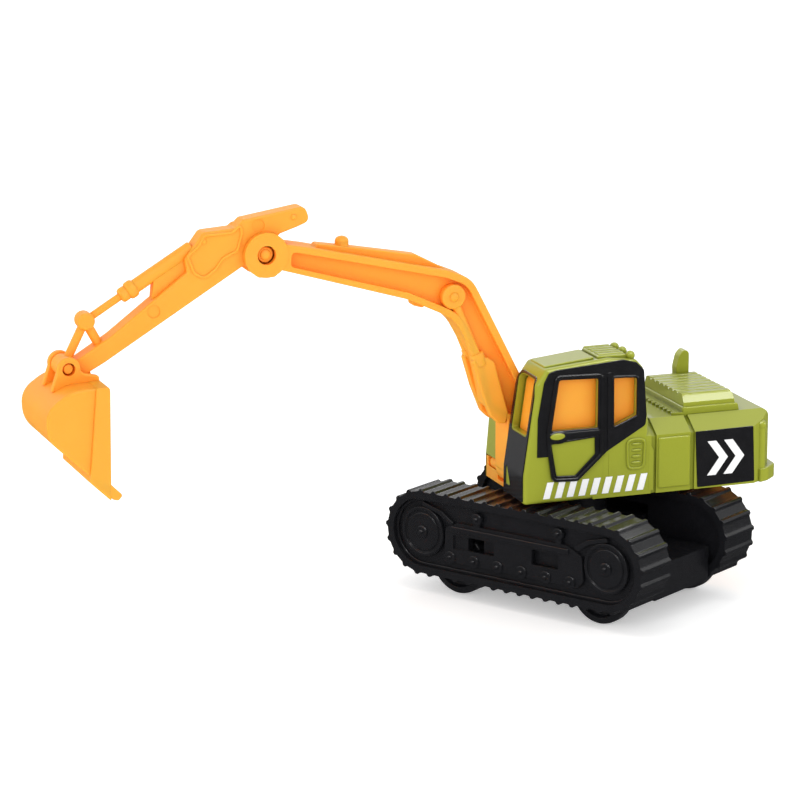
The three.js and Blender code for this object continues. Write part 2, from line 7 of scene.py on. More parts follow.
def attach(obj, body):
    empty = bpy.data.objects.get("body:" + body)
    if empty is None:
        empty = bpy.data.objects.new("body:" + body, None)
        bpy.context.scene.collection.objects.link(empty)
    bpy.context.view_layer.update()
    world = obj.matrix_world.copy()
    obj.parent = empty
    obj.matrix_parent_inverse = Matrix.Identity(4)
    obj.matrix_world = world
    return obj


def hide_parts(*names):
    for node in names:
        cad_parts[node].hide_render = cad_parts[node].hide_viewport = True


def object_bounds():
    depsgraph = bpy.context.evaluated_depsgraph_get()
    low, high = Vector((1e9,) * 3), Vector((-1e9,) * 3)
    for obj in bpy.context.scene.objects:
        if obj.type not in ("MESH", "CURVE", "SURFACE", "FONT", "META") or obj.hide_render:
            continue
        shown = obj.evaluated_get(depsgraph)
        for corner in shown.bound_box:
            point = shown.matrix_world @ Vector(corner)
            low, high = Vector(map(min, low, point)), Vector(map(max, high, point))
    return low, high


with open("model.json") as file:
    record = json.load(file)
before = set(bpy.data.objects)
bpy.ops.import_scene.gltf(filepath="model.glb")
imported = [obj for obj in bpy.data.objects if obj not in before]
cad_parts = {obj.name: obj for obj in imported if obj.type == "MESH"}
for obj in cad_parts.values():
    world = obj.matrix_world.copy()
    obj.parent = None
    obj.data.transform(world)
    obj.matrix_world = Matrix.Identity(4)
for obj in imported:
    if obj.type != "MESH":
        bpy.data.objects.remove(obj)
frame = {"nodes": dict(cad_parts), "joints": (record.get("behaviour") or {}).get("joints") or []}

cad_box = [list(corner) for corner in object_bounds()]

# ---- camera ----
# A long lens, low over the table, looks at the cab side from a little ahead of it.
# The toy fills the frame's width, and the camera aims at the middle of its box.
low, high = (Vector(corner) for corner in cad_box)
AIM_OFFSET = Vector((-0.00135, 0, 0.00107))
aim = Vector(((low.x + high.x) / 2, 0, high.z / 2)) + AIM_OFFSET
CAMERA_TURN = math.radians(-20.375)
CAMERA_RISE = math.radians(13.8)
CAMERA_DISTANCE = 0.7208
LENS_MM = 165.8
away = Vector((
    math.sin(CAMERA_TURN) * math.cos(CAMERA_RISE),
    -math.cos(CAMERA_TURN) * math.cos(CAMERA_RISE),
    math.sin(CAMERA_RISE),
))
bpy.ops.object.select_all(action="DESELECT")
bpy.ops.object.camera_add(location=aim + CAMERA_DISTANCE * away)
camera = bpy.context.object
camera.rotation_euler = away.to_track_quat("Z", "Y").to_euler()
camera.data.lens = LENS_MM
camera.data.sensor_width = 36
camera.data.clip_start = 0.01
bpy.context.scene.camera = camera
bpy.context.scene.view_settings.view_transform = "Standard"

# ---- studio light ----
# A white room with small soft lights overhead, left and right, and long strips that draw
# a bright line along the edges. In reflections the room is bright behind and above the
# toy and dim in front of it, as if draped in dark cloth, so that gloss reads on black.
world = bpy.data.worlds.new("white_room")
bpy.context.scene.world = world
world.use_nodes = True
room = world.node_tree
facing = room.nodes.new("ShaderNodeTexCoord").outputs["Generated"]
behind = room.nodes.new("ShaderNodeVectorMath")
behind.operation = "DOT_PRODUCT"
room.links.new(facing, behind.inputs[0])
behind.inputs[1].default_value = (0, 0.4, 0.88)
height = room.nodes.new("ShaderNodeSeparateXYZ")
room.links.new(facing, height.inputs[0])
ray = room.nodes.new("ShaderNodeLightPath")
gloss = room.nodes.new("ShaderNodeMix")
room.links.new(ray.outputs["Is Glossy Ray"], gloss.inputs[0])
for source, socket, *span in (
    (height.outputs["Z"], gloss.inputs[2], 0.1, 0.9, 1.6, 0.6),
    (behind.outputs["Value"], gloss.inputs[3], 0.0, 1.05, 0.08, 1.15),
):
    drapes = room.nodes.new("ShaderNodeMapRange")
    drapes.interpolation_type = "SMOOTHSTEP"
    room.links.new(source, drapes.inputs["Value"])
    for name, value in zip(("From Min", "From Max", "To Min", "To Max"), span):
        drapes.inputs[name].default_value = value
    room.links.new(drapes.outputs["Result"], socket)
room.links.new(gloss.outputs[0], room.nodes["Background"].inputs["Strength"])
room.nodes["Background"].inputs["Color"].default_value = (1, 1, 1, 1)


def softbox(name, place, size, watts, only_in_gloss=False):
    """A rectangular light that faces the toy, or one that only its gloss picks up."""
    bpy.ops.object.light_add(type="AREA", location=place)
    lamp = bpy.context.object
    lamp.name = name
    lamp.rotation_euler = (lamp.location - aim).to_track_quat("Z", "Y").to_euler()
    lamp.data.shape = "RECTANGLE"
    lamp.data.size, lamp.data.size_y = size
    lamp.data.energy = watts
    lamp.visible_diffuse = not only_in_gloss


softbox("overhead", (-0.05, -0.05, 0.55), (0.15, 0.15), 0.2)
softbox("front_left", (-0.50, -0.40, 0.30), (0.2, 0.2), 0.4)
softbox("back_strip", (0.25, 0.50, 0.40), (0.6, 0.06), 0.5)
softbox("edge_strip", (0.10, -0.30, 0.50), (0.7, 0.05), 1.6, only_in_gloss=True)
softbox("near_strip", (0.25, -0.52, 0.40), (0.5, 0.03), 0.45, only_in_gloss=True)
softbox("right_back", (0.60, -0.15, 0.20), (0.15, 0.15), 0.3)

# ---- shader arithmetic and the table ----
# The table is a plain white sheet with a faint paper mottle.
# Finishes are written as sums of sockets, so this section holds the two classes for that.


class Level:
    """A number that changes over a surface. Arithmetic on it adds Math nodes."""

    def __init__(self, finish, socket):
        self.finish = finish
        self.socket = socket

    def _work(self, operation, first, second):
        values = {0: getattr(first, "socket", first), 1: getattr(second, "socket", second)}
        made = self.finish.node("ShaderNodeMath", {"operation": operation}, values)
        return Level(self.finish, made.outputs[0])

    def __add__(self, other):
        return self._work("ADD", self, other)

    def __mul__(self, other):
        return self._work("MULTIPLY", self, other)

    def __pow__(self, other):
        return self._work("POWER", self, other)

    __radd__ = __add__
    __rmul__ = __mul__


class Finish:
    """One material: a Principled surface whose sockets are set or fed by nodes."""

    def __init__(self, name, **constants):
        self.material = bpy.data.materials.new(name)
        self.material.use_nodes = True
        self.tree = self.material.node_tree
        self.surface = self.tree.nodes["Principled BSDF"]
        self.set(**constants)
        self.place = self.node("ShaderNodeTexCoord").outputs["Object"]

    def set(self, **values):
        """Sets sockets by name, with an underscore for each space."""
        for name, value in values.items():
            self.feed(self.surface.inputs[name.replace("_", " ")], value)

    def feed(self, socket, value):
        value = getattr(value, "socket", value)
        if isinstance(value, bpy.types.NodeSocket):
            self.tree.links.new(value, socket)
        elif isinstance(value, tuple) and len(value) == 3 and socket.type == "RGBA":
            socket.default_value = (*value, 1)
        else:
            socket.default_value = value

    def node(self, kind, settings=None, values=None):
        made = self.tree.nodes.new(kind)
        for name, value in (settings or {}).items():
            setattr(made, name, value)
        for name, value in (values or {}).items():
            self.feed(made.inputs[name], value)
        return made

    def noise(self, size_mm, detail=2, stretch=(1, 1, 1)):
        """Even noise from 0 to 1 whose lumps are about size_mm across."""
        spread = self.node("ShaderNodeMapping", values={"Vector": self.place, "Scale": stretch})
        values = {"Vector": spread.outputs[0], "Scale": 1000 / size_mm, "Detail": detail}
        return Level(self, self.node("ShaderNodeTexNoise", values=values).outputs["Fac"])

    def shelter(self, reach_mm):
        """1 in the open, less in a recessed spot or a corner within reach; the mask that paints shade
        into a colour.
        """
        values = {"Distance": reach_mm / 1000}
        made = self.node("ShaderNodeAmbientOcclusion", {"samples": 8}, values)
        return Level(self, made.outputs["AO"])

    def blend(self, factor, first, second):
        settings = {"data_type": "RGBA"}
        values = {0: factor, 6: first, 7: second}
        return self.node("ShaderNodeMix", settings, values).outputs[2]

    def bump(self, height, depth_mm, strength=1.0):
        values = {"Height": height, "Distance": depth_mm / 1000, "Strength": strength}
        self.set(Normal=self.node("ShaderNodeBump", values=values).outputs[0])


paper = Finish("white_table", Roughness=0.9, Emission_Color=(1, 1, 1), Emission_Strength=0.35)
paper.set(Base_Color=paper.blend(paper.noise(40), (0.93, 0.93, 0.93), (0.96, 0.96, 0.96)))
bpy.ops.mesh.primitive_plane_add(size=40)
table = bpy.context.object
table.name = "table"
table.visible_glossy = False
table.data.materials.append(paper.material)

# ---- track mouldings ----
# Each track is one glossy black moulding: a belt of ribbed shoes round a side wall that
# carries the sprocket, idler, frame and rollers in low relief. They are mirror images.
MM = 0.001
joints = {joint["name"]: joint for joint in frame["joints"]}
swing_x, swing_y, _ = joints["house_swing"]["pos_m"]
axle_x, axle_y, _ = joints["front_wheels_roll"]["axis"]
HOUSE_PLACE = Matrix.Translation((swing_x, swing_y, 0)) @ Matrix.Scale(MM, 4)
TRACK_PLACE = HOUSE_PLACE @ Matrix.Rotation(math.atan2(-axle_x, axle_y), 4, "Z")

SPROCKET_SPACING = 44.3
TRACK_AXIS_Z = 12.4
SHOE_ROOT = 8.45
SHOE_RIB = 0.52
SHOES = 45
TRACK_INNER = 9.95
TRACK_FACE = 20.1
WALL_FACE = 18.7
FRAME_FACE = 19.5
SPROCKET_Z = 12.5
ROLLER_Z = 8.3
WHEEL_RADIUS = 6.5
WHEEL_STATIONS = {"front": -15.6, "rear": 18.4}


def rounded(corners):
    """The points of an outline whose corners are (u, v) or (u, v, radius)."""
    points = []
    for i, (u, v, *radius) in enumerate(corners):
        here = Vector((u, v))
        before = Vector(corners[i - 1][:2]) - here
        after = Vector(corners[(i + 1) % len(corners)][:2]) - here
        if not radius:
            points.append(here)
            continue
        reach = min(
            radius[0] / math.tan(before.angle(after) / 2),
            0.49 * before.length,
            0.49 * after.length,
        )
        start = here + reach * before.normalized()
        end = here + reach * after.normalized()
        steps = 4 if radius[0] < 1.5 else 9
        for step in range(steps + 1):
            t = step / steps
            points.append((1 - t) ** 2 * start + 2 * t * (1 - t) * here + t * t * end)
    return points


def slab(corners, low, high, along="y"):
    """A sheet cut to an outline: x and z for a slab along y, y and z for one along x."""
    points = rounded(corners)
    turn = {"x": (2, 0, 1), "y": (0, 2, 1), "z": (0, 1, 2)}[along]
    bpy.ops.mesh.primitive_circle_add(vertices=len(points), fill_type="NGON")
    piece = bpy.context.object
    for vertex, (u, v) in zip(piece.data.vertices, points):
        spot = (u, v, low)
        vertex.co = [spot[axis] for axis in turn]
    depth = [(0, 0, high - low)[axis] for axis in turn]
    bpy.ops.object.mode_set(mode="EDIT")
    bpy.ops.mesh.select_all(action="SELECT")
    bpy.ops.mesh.extrude_region_move(TRANSFORM_OT_translate={"value": depth})
    bpy.ops.mesh.select_all(action="SELECT")
    bpy.ops.mesh.normals_make_consistent(inside=False)
    bpy.ops.object.mode_set(mode="OBJECT")
    return piece


def block(x0, x1, y0, y1, z0, z1):
    middle = ((x0 + x1) / 2, (y0 + y1) / 2, (z0 + z1) / 2)
    bpy.ops.mesh.primitive_cube_add(size=1, location=middle, scale=(x1 - x0, y1 - y0, z1 - z0))
    bpy.ops.object.transform_apply(location=True, rotation=True, scale=True)
    return bpy.context.object


def rod(start, end, radius, sides=40):
    """A round bar from one point to another."""
    start, end = Vector(start), Vector(end)
    run = end - start
    bpy.ops.mesh.primitive_cone_add(
        vertices=sides, radius1=radius, radius2=radius, depth=run.length,
        location=(start + end) / 2,
        rotation=run.to_track_quat("Z", "Y").to_euler(),
    )
    bpy.ops.object.transform_apply(location=True, rotation=True, scale=True)
    return bpy.context.object


def rod_y(x, z, radius, y0, y1, sides=40):
    return rod((x, y0, z), (x, y1, z), radius, sides=sides)


def ball(x, y, z, radius, squash=(1, 1, 1)):
    bpy.ops.mesh.primitive_uv_sphere_add(
        segments=24, ring_count=14, radius=radius, location=(x, y, z), scale=squash,
    )
    bpy.ops.object.transform_apply(location=True, rotation=True, scale=True)
    return bpy.context.object


def duplicate(piece):
    """A second piece of the same shape, with its own mesh."""
    copy = piece.copy()
    copy.data = piece.data.copy()
    bpy.context.collection.objects.link(copy)
    return copy


def use(piece, kind, **settings):
    """Adds one modifier to a piece and applies it."""
    bpy.ops.object.select_all(action="DESELECT")
    piece.select_set(True)
    bpy.context.view_layer.objects.active = piece
    modifier = piece.modifiers.new(kind.lower(), kind)
    for name, value in settings.items():
        setattr(modifier, name, value)
    bpy.ops.object.modifier_apply(modifier=modifier.name)
    return piece


def carve(piece, *tools, how="DIFFERENCE"):
    """Cuts tools out of a piece, or joins or crosses it with them, and throws them away."""
    for tool in tools:
        use(piece, "BOOLEAN", operation=how, solver="EXACT", object=tool)
        bpy.data.objects.remove(tool)


def soften(piece, width, segments=3, sharper_than=35):
    """Rounds every edge of a piece that is sharper than the angle given."""
    use(
        piece, "BEVEL", width=width, segments=segments, limit_method="ANGLE",
        angle_limit=math.radians(sharper_than), miter_outer="MITER_ARC",
    )
    return use(piece, "WELD", merge_threshold=0.003)


def gather(name, pieces):
    """Joins closed pieces into one object."""
    bpy.ops.object.select_all(action="DESELECT")
    for piece in pieces:
        piece.select_set(True)
    bpy.context.view_layer.objects.active = pieces[0]
    bpy.ops.object.join()
    whole = bpy.context.object
    whole.name = name
    whole.data.name = name
    return whole


def fit(piece, finish, place, body, slot, *nodes):
    """Sets a finished piece in its place, gives it its finish and lets it move with a body."""
    piece.data.transform(place)
    piece.data.materials.clear()
    piece.data.materials.append(finish.material)
    bpy.ops.object.select_all(action="DESELECT")
    piece.select_set(True)
    bpy.context.view_layer.objects.active = piece
    bpy.ops.object.shade_smooth_by_angle(angle=math.radians(42))
    use(piece, "WEIGHTED_NORMAL", keep_sharp=True, weight=80)
    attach(piece, body)
    if nodes:
        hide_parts(*nodes)


def loop_point(distance, radius):
    """The point at a distance round the track whose round ends have the given radius."""
    straight, bend = SPROCKET_SPACING, math.pi * SHOE_ROOT
    side = 1 if distance < straight + bend else -1
    rest = distance % (straight + bend)
    if rest < straight:
        return side * (rest - straight / 2), TRACK_AXIS_Z - side * radius
    turn = (rest - straight) / SHOE_ROOT - math.pi / 2
    return (
        side * (straight / 2 + radius * math.cos(turn)),
        TRACK_AXIS_Z + side * radius * math.sin(turn),
    )


def loop(radius, share_and_rise=((0, 0), (0.5, 0))):
    """A closed outline round the track: each shoe has one point per share of its pitch."""
    pitch = 2 * (SPROCKET_SPACING + math.pi * SHOE_ROOT) / SHOES
    return [
        loop_point(pitch * (shoe + share), radius + rise)
        for shoe in range(SHOES) for share, rise in share_and_rise
    ]


black_plastic = Finish("black_plastic", Specular_IOR_Level=0.5)
mottle = black_plastic.noise(3.0, 3)
grain = black_plastic.noise(0.35, 2)
black_plastic.set(
    Base_Color=black_plastic.blend(mottle, (0.0065, 0.0067, 0.008), (0.0105, 0.0108, 0.013)),
    Roughness=0.16 + mottle * 0.1 + grain * 0.04,
)
black_plastic.bump(mottle * 0.9 + grain * 0.1, 0.02, 0.2)

shoe_profile = ((0, 0), (0.4, 0.02), (0.52, SHOE_RIB), (0.7, SHOE_RIB), (0.84, 0.02))
belt = slab(loop(SHOE_ROOT, shoe_profile), TRACK_INNER, TRACK_FACE)
carve(belt, slab(loop(SHOE_ROOT - 1.5), TRACK_INNER - 1, TRACK_FACE + 1))
soften(belt, 0.13, 2, 25)

wall = slab(loop(SHOE_ROOT - 1.4), WALL_FACE - 1.3, WALL_FACE)
inner_wall = slab(loop(SHOE_ROOT - 1.4), TRACK_INNER + 1.1, TRACK_INNER + 1.9)
carve(
    inner_wall, block(-8.5, 11.5, TRACK_INNER, 15, 0, 17),
    *(rod_y(x, WHEEL_RADIUS, 1.4, TRACK_INNER, 15) for x in WHEEL_STATIONS.values()),
)
rim = slab(loop(SHOE_ROOT - 1.4), WALL_FACE - 0.2, WALL_FACE + 0.55)
carve(rim, slab(loop(SHOE_ROOT - 2.1), WALL_FACE - 1, WALL_FACE + 2))
side_frame = slab([
    (-16.8, 8.6, 0.6), (-16.5, 14.3, 0.8), (-13.6, 15.6, 0.5), (12.6, 15.6, 0.5), (16.4, 13.9, 1),
    (16.8, 8.8, 1.2), (15.4, 7.4, 0.8), (-15.6, 7.4, 0.8),
], WALL_FACE - 0.3, FRAME_FACE)
rail = slab([
    (-15.2, 13.7, 0.3), (-15.2, 14.9, 0.4), (13.4, 15.0, 0.4), (13.4, 13.8, 0.3),
], FRAME_FACE - 0.3, FRAME_FACE + 0.4)
pocket = block(-14.6, -10.9, FRAME_FACE - 0.45, FRAME_FACE + 1, 10.2, 13.0)
openings = [
    slab([(-11.2, 10.3, 0.3), (-11.2, 13.1, 0.3), (-4.6, 13.1, 0.3), (-4.6, 10.3, 0.3)], 15, 22),
    slab([(4.5, 10.3, 0.3), (4.5, 13.4, 0.3), (10.8, 13.4, 0.3), (10.8, 10.3, 0.3)], 15, 22),
]
carve(wall, *[duplicate(opening) for opening in openings])
carve(side_frame, *openings, pocket)
relief = [belt, wall, inner_wall, soften(rim, 0.25), soften(side_frame, 0.3), soften(rail, 0.3)]
for x in (-SPROCKET_SPACING / 2, SPROCKET_SPACING / 2):
    disc = rod_y(x, SPROCKET_Z, 5.1, WALL_FACE - 0.3, FRAME_FACE + 0.2, 64)
    groove = rod_y(x, SPROCKET_Z, 4.4, FRAME_FACE - 0.15, FRAME_FACE + 1, 64)
    carve(disc, groove)
    face = rod_y(x, SPROCKET_Z, 3.95, WALL_FACE, FRAME_FACE + 0.15, 64)
    hub = rod_y(x, SPROCKET_Z, 1.35, FRAME_FACE - 0.3, FRAME_FACE + 0.65)
    pin = ball(x, FRAME_FACE + 0.6, SPROCKET_Z, 0.55)
    relief += [soften(disc, 0.35), soften(face, 0.35), soften(hub, 0.4), pin]
for x in (-15.3, -9.5, -3.7, 2.1, 7.9, 13.7):
    roller = rod_y(x, ROLLER_Z, 1.3, WALL_FACE, FRAME_FACE + 0.35, 32)
    relief += [soften(roller, 0.25), ball(x, FRAME_FACE + 0.3, ROLLER_Z, 0.5)]
for x, z in ((-8.8, 17.2), (10.8, 17.6)):
    carrier = rod_y(x, z, 1.25, WALL_FACE, FRAME_FACE + 0.4, 32)
    stem = block(x - 0.7, x + 0.7, WALL_FACE, FRAME_FACE + 0.1, 14.5, z)
    relief += [soften(carrier, 0.3), soften(stem, 0.15), ball(x, FRAME_FACE + 0.35, z, 0.5)]
for mirror in (1, -1):
    guard = slab([
        (mirror * -22.5, 17.9), (mirror * -22.2, 18.7, 0.3), (mirror * -17.6, 17.5, 1.5),
        (mirror * -14.4, 15.4, 0.4), (mirror * -15.4, 14.9), (mirror * -18.2, 16.7, 1.2),
    ], WALL_FACE - 0.2, FRAME_FACE + 0.1)
    relief.append(soften(guard, 0.2))
track = gather("track_right_moulding", relief)
other = duplicate(track)
other.name = "track_left_moulding"
other.data.transform(Matrix.Scale(-1, 4, (0, 1, 0)))
other.data.flip_normals()
fit(track, black_plastic, TRACK_PLACE, "undercarriage", "black_plastic", "track_right")
fit(other, black_plastic, TRACK_PLACE, "undercarriage", "black_plastic", "track_left")

# ---- chassis ----
# A black frame between the tracks, closed below by a plate on two screws. Both are
# plain mouldings with small rounded edges, so they keep the frame model's shapes.


def rounded_copy(node, width, segments=2):
    """A frame node's own shape, in millimetres, with its edges rounded."""
    copy = duplicate(frame["nodes"][node])
    copy.parent = None
    for key in list(copy.keys()):
        del copy[key]
    copy.data.transform(Matrix.Scale(1 / MM, 4))
    bpy.ops.object.select_all(action="DESELECT")
    copy.select_set(True)
    bpy.context.view_layer.objects.active = copy
    bpy.ops.object.mode_set(mode="EDIT")
    bpy.ops.mesh.select_all(action="SELECT")
    bpy.ops.mesh.remove_doubles(threshold=0.002)
    bpy.ops.mesh.dissolve_limited(angle_limit=math.radians(1))
    bpy.ops.object.mode_set(mode="OBJECT")
    return soften(copy, width, segments)


NODE_PLACE = Matrix.Scale(MM, 4)
for node, width in (("chassis_frame", 0.35), ("chassis_base_plate", 0.15)):
    copy = rounded_copy(node, width)
    copy.name = node + "_moulding"
    fit(copy, black_plastic, NODE_PLACE, "undercarriage", "black_plastic", node)

# ---- wheels, axles and screws ----
# Four hidden wheels with a rounded tread and a recessed face turn on bright steel
# axles. The screws and the swing washer are zinc-plated steel.
WHEEL_FACE = 16.5
WHEEL_WIDTH = 3.0

steel = Finish("zinc_plated_steel", Metallic=1.0)
brushing = steel.noise(0.5, 3, (1, 1, 0.15))
steel.set(
    Base_Color=steel.blend(brushing, (0.48, 0.48, 0.5), (0.66, 0.66, 0.67)),
    Roughness=0.24 + brushing * 0.16,
)


def turned(profile, x, y, z, along=-1):
    """A turned piece whose (radius, depth) profile runs round an axle through x, z."""
    bpy.ops.mesh.primitive_circle_add(vertices=len(profile), fill_type="NOTHING")
    piece = bpy.context.object
    for vertex, (radius, depth) in zip(piece.data.vertices, profile):
        vertex.co = (x + radius, y + along * depth, z)
    bpy.ops.object.mode_set(mode="EDIT")
    bpy.ops.mesh.select_all(action="SELECT")
    bpy.ops.mesh.spin(steps=72, angle=math.tau, center=(x, y, z), axis=(0, 1, 0))
    bpy.ops.mesh.select_all(action="SELECT")
    bpy.ops.mesh.remove_doubles(threshold=0.001)
    bpy.ops.mesh.normals_make_consistent(inside=False)
    bpy.ops.object.mode_set(mode="OBJECT")
    return piece


wheel_profile = [tuple(point) for point in rounded([
    (1.1, 0), (2.1, 0, 0.2), (2.4, -0.9, 0.3), (4.8, -0.9, 0.4), (5.2, 0, 0.3),
    (WHEEL_RADIUS, 0, 0.7), (WHEEL_RADIUS, -WHEEL_WIDTH, 0.7), (1.1, -WHEEL_WIDTH),
])]
for end, x in WHEEL_STATIONS.items():
    for hand, side in (("left", -1), ("right", 1)):
        wheel = turned(wheel_profile, x, side * WHEEL_FACE, WHEEL_RADIUS, side)
        wheel.name = f"{end}_{hand}_wheel"
        body = end + "_wheelset"
        fit(wheel, black_plastic, TRACK_PLACE, body, "black_plastic", f"{end}_wheel_{hand}")
for node in (
    "front_axle", "rear_axle", "chassis_screw_front", "chassis_screw_rear",
    "body_screw_front", "body_screw_rear", "swing_screw", "swing_washer",
):
    frame["nodes"][node].data.materials.clear()
    frame["nodes"][node].data.materials.append(steel.material)

# ---- body floor ----
# The orange floor closes the body from below. Its front edge shows under the arm, with
# the two bearing blocks that hold the boom's pins. The moulding behind the cab windows
# is of the same plastic.
orange = Finish(
    "orange_plastic", Subsurface_Weight=0.25, Subsurface_Scale=0.0016,
    Subsurface_Radius=(1.0, 0.32, 0.06), Specular_IOR_Level=0.25,
)
cloud = orange.noise(9, 2)
skin = orange.noise(0.5, 3)
# Painted shade: recesses and corners get a deeper, darker orange from the shelter mask.
painted_recess_shade = orange.shelter(3.2) ** 1.6
open_colour = orange.blend(cloud, (0.90, 0.36, 0.032), (0.94, 0.40, 0.038))
orange.set(
    Base_Color=orange.blend(painted_recess_shade, (1.0, 0.29, 0.018), open_colour),
    Roughness=0.36 + cloud * 0.1 + skin * 0.06,
)
orange.bump(cloud * 0.5 + skin * 0.12, 0.08, 0.5)
floor = rounded_copy("house_base_plate", 0.2)
floor.name = "body_floor"
fit(floor, orange, NODE_PLACE, "house", "orange_plastic", "house_base_plate")
insert = frame["nodes"]["cab_window_insert"]
insert.data.materials.clear()
insert.data.materials.append(orange.material)

# ---- body shell ----
# One die-cast shell in glossy yellow-green paint: the engine body with its shoulders
# and counterweight, the cab, the ribbed hood and the exhaust are cast together.
HALF_WIDTH = 13.85
FLOOR = 22.2
DECK = 36.6
SHOULDER = 34.0
BODY_FRONT = -14.0
BODY_REAR = 39.6
CAB_FRONT = -15.7
CAB_REAR = 10.9
CAB_FAR = -3.5
ROOF = 50.4
NEAR = -HALF_WIDTH

green = Finish(
    "green_paint", Metallic=0.12, Coat_Weight=0.9, Coat_Roughness=0.04, Specular_IOR_Level=0.2,
)
flow = green.noise(12, 2)
flake = green.noise(0.16, 1)
peel = green.noise(1.3, 2)
# Painted shade: hollows and corners get a dark olive green from the shelter mask.
painted_hollow_shade = green.shelter(1.6) ** 1.3
paint = green.blend(flow, (0.325, 0.358, 0.024), (0.355, 0.388, 0.032))
paint = green.blend(flake * 0.25, paint, (0.42, 0.47, 0.06))
green.set(
    Base_Color=green.blend(painted_hollow_shade, (0.12, 0.14, 0.004), paint),
    Roughness=0.27 + flow * 0.08 + flake * 0.05,
)
green.bump(peel, 0.05, 0.35)


def cab_outline(inset, floor):
    """The cab's side view, moved inwards by an inset."""
    return [
        (CAB_FRONT + inset, floor), (CAB_FRONT + inset, 28.1, 6),
        (inset * 0.9 - 13.1, 46.2 - inset * 0.4, 2), (inset * 0.6 - 11, ROOF - 1.2 - inset, 1),
        (2, ROOF - inset, 3), (8 - inset * 0.6, ROOF - 0.6 - inset, 2),
        (9.8 - inset, 47.8 - inset * 0.4, 2), (CAB_REAR - inset, 37), (CAB_REAR - inset, floor),
    ]


def body_section(inset):
    """The engine body seen from the front, moved inwards by an inset."""
    half, deck, shoulder = HALF_WIDTH - inset, DECK - inset, SHOULDER - inset / 2
    return [
        (-half, FLOOR - 5), (-half, shoulder), (-10.1, deck), (10.1, deck), (half, shoulder),
        (half, FLOOR - 5),
    ]


def floor_pocket():
    """The room that the floor plate takes up inside the shell."""
    return slab([
        (-16, -12.5), (-16, 10.4), (-11.6, 10.4), (-9.2, 12.55), (33.7, 12.55), (36.3, 10.8),
        (37.9, 8.2), (37.9, -8.2), (36.3, -10.8), (33.7, -12.5),
    ], FLOOR - 2, FLOOR + 2.2, "z")


engine = slab([
    (BODY_FRONT, -8), (BODY_FRONT, 10.4), (-10.5, HALF_WIDTH), (34, HALF_WIDTH), (36.6, 12.3),
    (39.0, 9.8, 2), (BODY_REAR, 0), (39.0, -9.8, 2), (36.6, -12.3), (34, NEAR + 0.04),
    (-1, NEAR + 0.04), (-1, -8),
], FLOOR + 0.04, DECK + 3, "z")
carve(engine, slab(body_section(0), -30, 50, "x"), how="INTERSECT")
carve(engine, slab([
    (BODY_FRONT, FLOOR), (BODY_FRONT, 26.9), (-12.6, DECK), (BODY_REAR - 2, DECK, 1.2),
    (BODY_REAR, DECK - 2.4, 1.2), (BODY_REAR, FLOOR),
], -20, 20), how="INTERSECT")
soften(engine, 0.8, 5, 20)
PANEL_GROOVES = ((11.5, 12.6), (20.0, 20.9))
for x0, x1 in PANEL_GROOVES:
    groove = block(x0, x1, -20, 20, FLOOR - 3, DECK + 5)
    carve(groove, slab(body_section(0.45), x0 - 1, x1 + 1, "x"))
    carve(engine, groove)
slot = block(-25, -5, CAB_FAR, 4, 10, 60)
front_mouth = block(-25, -10.2, CAB_FAR, 10.4, 10, 26.9)
cabin = block(-20, 9, -12.5, -4.9, 31, 60)
carve(engine, slot, front_mouth, cabin, floor_pocket())
soften(engine, 0.2, 3, 50)

cab = slab(cab_outline(0, FLOOR), NEAR, CAB_FAR)
soften(cab, 1.1, 6, 50)
hollow_and_windows = slab(cab_outline(1.3, FLOOR - 2), NEAR + 1.3, CAB_FAR - 1.3)
carve(hollow_and_windows, block(-20, 20, -20, 20, 0, 31))
carve(
    hollow_and_windows,
    slab([(-10.2, 36.7, 0.6), (-0.1, 36.7, 0.6), (-0.1, 46.7, 1.0), (-8.5, 47.0, 1.2)], -16, -2),
    slab([(3.2, 36.5, 0.5), (8.1, 38.6, 0.5), (8.1, 46.2, 0.9), (3.0, 46.5, 0.6)], -16, -2),
    slab([
        (-12.3, 35.9, 0.8), (-4.9, 35.9, 0.8), (-4.9, 46.9, 1.4), (-12.3, 46.9, 1.4),
    ], -18, -11.2, "x"),
    how="UNION",
)
fold = rod((1.7, NEAR - 0.35, FLOOR - 1), (1.7, NEAR - 0.35, 31.2), 0.75)
carve(cab, hollow_and_windows, fold, floor_pocket())
soften(cab, 0.22, 3, 60)

shell = [engine, cab]
cab_joint = slab([(11, FLOOR + 0.7), (12, FLOOR + 0.7), (12, 31), (11, 33)], NEAR + 0.02, NEAR + 2)
shell.append(cab_joint)
for face, side in ((NEAR, -1), (HALF_WIDTH, 1)):
    span = sorted((face + side * 0.28, face - side))
    raised_panel = slab([
        (12.9, FLOOR + 0.9, 0.5), (12.9, SHOULDER - 0.5, 0.5), (19.9, SHOULDER - 0.5, 0.5),
        (19.9, FLOOR + 0.9, 0.5),
    ], *span)
    shell.append(soften(raised_panel, 0.4, 4))

# The hood has a wider foot and eight low ribs that run back to the counterweight.
HOOD_FRONT = 20.0
HOOD_REAR = 31.9
HOOD_HALF = 9.8
HOOD_TOP = 40.6
RIBS = 8
RIB_PITCH = 2.15
side_view = [
    (HOOD_FRONT + 0.3, DECK - 1), (HOOD_FRONT + 0.3, HOOD_TOP + 1),
    (HOOD_REAR - 1.7, HOOD_TOP + 1), (HOOD_REAR - 0.7, HOOD_TOP - 0.8, 1), (HOOD_REAR, DECK - 1),
]
end_view = [(-9.5, DECK - 0.5), (-9.5, 38.8, 0.6), (-8.7, 40.4, 0.5)]
for rib in range(RIBS):
    y = (rib - (RIBS - 1) / 2) * RIB_PITCH
    end_view += [(y - 0.8, HOOD_TOP, 0.3), (y + 0.55, HOOD_TOP, 0.3), (y + 1.05, HOOD_TOP - 0.65)]
end_view[-1:] = [(8.7, 40.4, 0.5), (9.5, 38.8, 0.6), (9.5, DECK - 0.5)]
hood = slab(end_view, HOOD_FRONT - 1, HOOD_REAR + 2, "x")
carve(hood, slab(side_view, -12, 12), how="INTERSECT")
